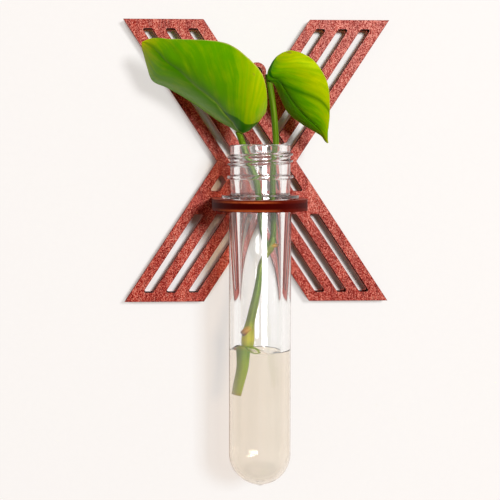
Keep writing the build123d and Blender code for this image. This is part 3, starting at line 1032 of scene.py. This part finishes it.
# %% Leaf finish
def leaf_green(name, rib_stops, lit_wedge, rib_light, trough_shadow, fold_shade, blemish):
    """Waxy leaf: greens by the distance from the midrib, vein streaks, a light midrib, a pale margin."""
    material, tree = finish_named(name)
    place = node(tree, "TexCoord")
    part = node(tree, "SeparateXYZ", {0: place.outputs["UV"]})
    across, along = part.outputs["X"], part.outputs["Y"]
    rib = ramp(tree, along, [(stop, (value, value, value, 1)) for stop, value in rib_stops])
    side = calc(tree, "SUBTRACT", across, rib)
    reach = calc(tree, "ABSOLUTE", side)
    sweep = calc(tree, "MULTIPLY_ADD", reach, -VEIN_SWEEP, along)
    scaled = [calc(tree, "MULTIPLY", way, scale) for way, scale in zip((sweep, side), VEIN_SCALE)]
    streaks = noise(tree, flat_place(tree, *scaled), 1.0, 3.0, 0.6)
    mottle = noise(tree, place.outputs["Object"], 130.0, 4.0)
    green = lime_tones(tree, across, along, streaks, mottle, lit_wedge)
    near_rib = remap(tree, reach, 0.0, DEEP_GREEN_REACH, 1.0, 0.0)
    green = overlay(tree, green, near_rib, 0.6, tint(44, 116, 2))
    green = leaf_marks(tree, green, across, along, side, mottle, trough_shadow, fold_shade, blemish)
    rib_fade = remap(tree, along, *RIB_ENDS, rib_light, 0.0)
    on_rib = remap(tree, reach, *RIB_EDGE, 1.0, 0.0)
    green = overlay(tree, green, on_rib, rib_fade, tint(140, 186, 60))
    edge = calc(tree, "ABSOLUTE", calc(tree, "SUBTRACT", across, 0.5))
    green = overlay(tree, green, remap(tree, edge, *MARGIN_EDGE), 0.75, tint(206, 196, 96))
    gloss = remap(tree, mottle, 0.0, 1.0, *WAX_ROUGHNESS)
    close_glossy(tree, green, gloss, streaks, WAX_RELIEF, 0.25, tint(215, 255, 40))
    return material


def ribs_on_map(places):
    """The midrib's places as shares of the UV map: along from 0 to 1, across from 0 to 1."""
    places = np.array(places)
    turn = np.arccos(1 - 2 * (places[:, 0] - places[0, 0]) / (places[-1, 0] - places[0, 0])) / np.pi
    return list(zip(turn.tolist(), ((places[:, 1] + 1) / 2).tolist()))


# The slanted lime band is painted light; the dark patch by the midrib and the dark crease line are
# painted shade.
left_marks = {
    "lit_wedge": {"start": -0.22, "slant": 2.2, "width": 0.40, "strength": 0.55},
    "rib_light": 0.85,
    "trough_shadow": {"ends": 0.34, "width": 0.56},
    "fold_shade": {"crosses": 0.40, "slant": 0.9, "strength": 0.2},
    "blemish": {"across": 0.93, "along": 0.33, "radius": 0.0},
}
right_marks = {
    "lit_wedge": {"start": 0.20, "slant": 0.60, "width": 0.36, "strength": 0.75},
    "rib_light": 0.2,
    "trough_shadow": {"ends": 0.26, "width": 0.34},
    "fold_shade": {"crosses": 0.306, "slant": 1.7, "strength": 0.7},
    "blemish": {"across": 0.90, "along": 0.14, "radius": 0.02},
}
paint(left_leaf, leaf_green("left_leaf_green", ribs_on_map(left_ribs), **left_marks))
paint(right_leaf, leaf_green("right_leaf_green", ribs_on_map(right_ribs), **right_marks))
print("leaf finish on two blades")

# %% [markdown]
# ## The wall
#
# The vase hangs on a pale matt wall, just behind the plate. Lamps alone would leave its open
# shadows and its far parts dark, so to rays that look at it the wall also glows, but not in narrow
# gaps: the slots keep their dark sides. From behind it is clear, and the plate's back shows.

# %% Wall
wall_gap = 0.6 * MM
wall_half = 3.0
wall_y = plate_high[1] + wall_gap
gap_reach = 12.0 * MM
gap_openness = (0.46, 0.60)
glow_distances = (0.25, 0.8)
glow_shares = (0.65, 1.0)
spread = np.linspace(-wall_half, wall_half, 2)
wall_x, wall_z = np.meshgrid(spread, spread)
wall = surface("wall", np.stack([wall_x, np.full_like(wall_x, wall_y), wall_z], axis=-1))


def wall_paint(name):
    """Pale matt wall mixed with glow: the glow's share is a share by distance times the openness, for
    rays that look, and the wall is clear when seen from behind."""
    material, tree = finish_named(name)
    spot = node(tree, "TexCoord").outputs["Object"]
    roller = noise(tree, spot, 400.0, 3.0)
    colour = ramp(tree, roller, tints((0.3, 250, 248, 246), (0.7, 253, 251, 249)))
    matt = node(tree, "BsdfDiffuse", {"Color": colour})
    glow = node(tree, "Emission", {"Color": tint(254, 251, 248), "Strength": 1.0})
    openness = node(tree, "AmbientOcclusion", {"Distance": gap_reach}, samples=8).outputs["AO"]
    openness = remap(tree, openness, *gap_openness)
    away = node(tree, "VectorMath", {0: spot}, operation="LENGTH").outputs["Value"]
    lift = calc(tree, "MULTIPLY", any_ray(tree, "Camera", "Transmission"), openness)
    lift = calc(tree, "MULTIPLY", lift, remap(tree, away, *glow_distances, *glow_shares))
    behind = node(tree, "NewGeometry").outputs["Backfacing"]
    pale = mix_shaders(tree, lift, matt, glow)
    close(tree, mix_shaders(tree, behind, pale, node(tree, "BsdfTransparent")))
    return material


paint(wall, wall_paint("wall_paint"))

# %% [markdown]
# ## Lamps
#
# A soft key lamp stands front right and throws the shadows to the left; a weak wide fill opens them
# from the left. A small panel near the camera lights the tube and the water alone. Mirror-like rays
# would show it again at every bend of the neck, so its beam leaves those rays out and only the soft
# coat draws its streak. A lamp behind the wall, which the wall doesn't block, shows the plate's back.

# %% Lamps
aim = np.array([0.0, axis_y, -60.0 * MM])
lamp_tint = (0.975, 0.985, 1.0)


def lamp(name, azimuth, elevation, distance, size, watts):
    """Soft rectangular lamp that looks at the vase from an azimuth and an elevation in degrees."""
    turn, lift = math.radians(azimuth), math.radians(elevation)
    away = np.array([math.sin(turn) * math.cos(lift), -math.cos(turn) * math.cos(lift), math.sin(lift)])
    light = bpy.data.lights.new(name, "AREA")
    light.shape = "RECTANGLE"
    light.size, light.size_y = size
    light.energy = watts
    light.color = lamp_tint
    made = bpy.data.objects.new(name, light)
    made.location = aim + away * distance
    made.rotation_euler = (math.pi / 2 - lift, 0.0, turn)
    bpy.context.scene.collection.objects.link(made)
    return made


key = lamp("key_lamp", 22, 14, 2.5, (0.5, 0.5), 59.0)
fill = lamp("fill_lamp", -35, 10, 2.2, (2.0, 1.6), 2.0)
panel = lamp("panel_lamp", 13, -5, 1.0, (0.30, 0.30), 8.0)
panel.data.use_nodes = True
beam = panel.data.node_tree
missed = calc(beam, "SUBTRACT", 1.0, any_ray(beam, "Singular"))
beam.links.new(missed, beam.nodes["Emission"].inputs["Strength"])
back = lamp("back_lamp", 180, 6, 2.5, (0.5, 0.5), 30.0)
back.visible_glossy = False
back.visible_transmission = False
streaked = bpy.data.collections.new("panel_lamp_lights")
streaked.objects.link(clear_tube)
streaked.objects.link(water_body)
panel.light_linking.receiver_collection = streaked
unblocked = bpy.data.collections.new("back_lamp_passes")
unblocked.objects.link(wall)
back.light_linking.blocker_collection = unblocked
unblocked.collection_objects[0].light_linking.link_state = "EXCLUDE"
print("lamps", key.name, fill.name, panel.name, back.name)

# %% [markdown]
# ## The room
#
# A plain white background would wash the shade out, and a dark one would blacken the clear tube.
# So the room is nearly white where it is looked at, straight or through clear things, and only a
# weak warm light where it lights a surface. Glossy rays get almost none of it, which keeps the
# stain's red in the shade.

# %% Room
shade_light = 0.18
gloss_cut = 0.17
shade_tint = (1.0, 0.60, 0.40, 1)
room_tint = (0.97, 0.96, 0.95, 1)
world = bpy.data.worlds.new("room")
bpy.context.scene.world = world
world.use_nodes = True
room = world.node_tree
room.nodes.clear()
seen = any_ray(room, "Camera", "Transmission", "Singular")
lit = calc(room, "MULTIPLY_ADD", any_ray(room, "Glossy"), -gloss_cut, shade_light)
strength = calc(room, "MAXIMUM", seen, lit)
air = blend(room, seen, shade_tint, room_tint)
sky = node(room, "Background", {"Color": air, "Strength": strength})
room.links.new(sky.outputs[0], node(room, "OutputWorld").inputs["Surface"])
print("room light", shade_light, "in the shade")

# %% [markdown]
# ## Camera
#
# The camera stands close in front, a little to the left, and looks slightly down. The lens is
# shifted instead of turned further, so that upright lines stay upright.

# %% Camera
camera_data = bpy.data.cameras.new("camera")
camera_data.sensor_width = 36.0
camera_data.lens = 72.29
camera_data.shift_x = 0.038
camera_data.shift_y = -0.0904
camera_data.clip_start = 0.01
camera = bpy.data.objects.new("camera", camera_data)
camera.location = (-0.0309, -0.450, -0.0395)
camera_pitch = 2.5
camera_yaw = 2.5
camera.rotation_euler = (math.radians(90 - camera_pitch), 0.0, math.radians(-camera_yaw))
bpy.context.scene.collection.objects.link(camera)
bpy.context.scene.camera = camera
bpy.context.scene.view_settings.view_transform = "Standard"
print("camera", tuple(camera.location), "lens", camera_data.lens)
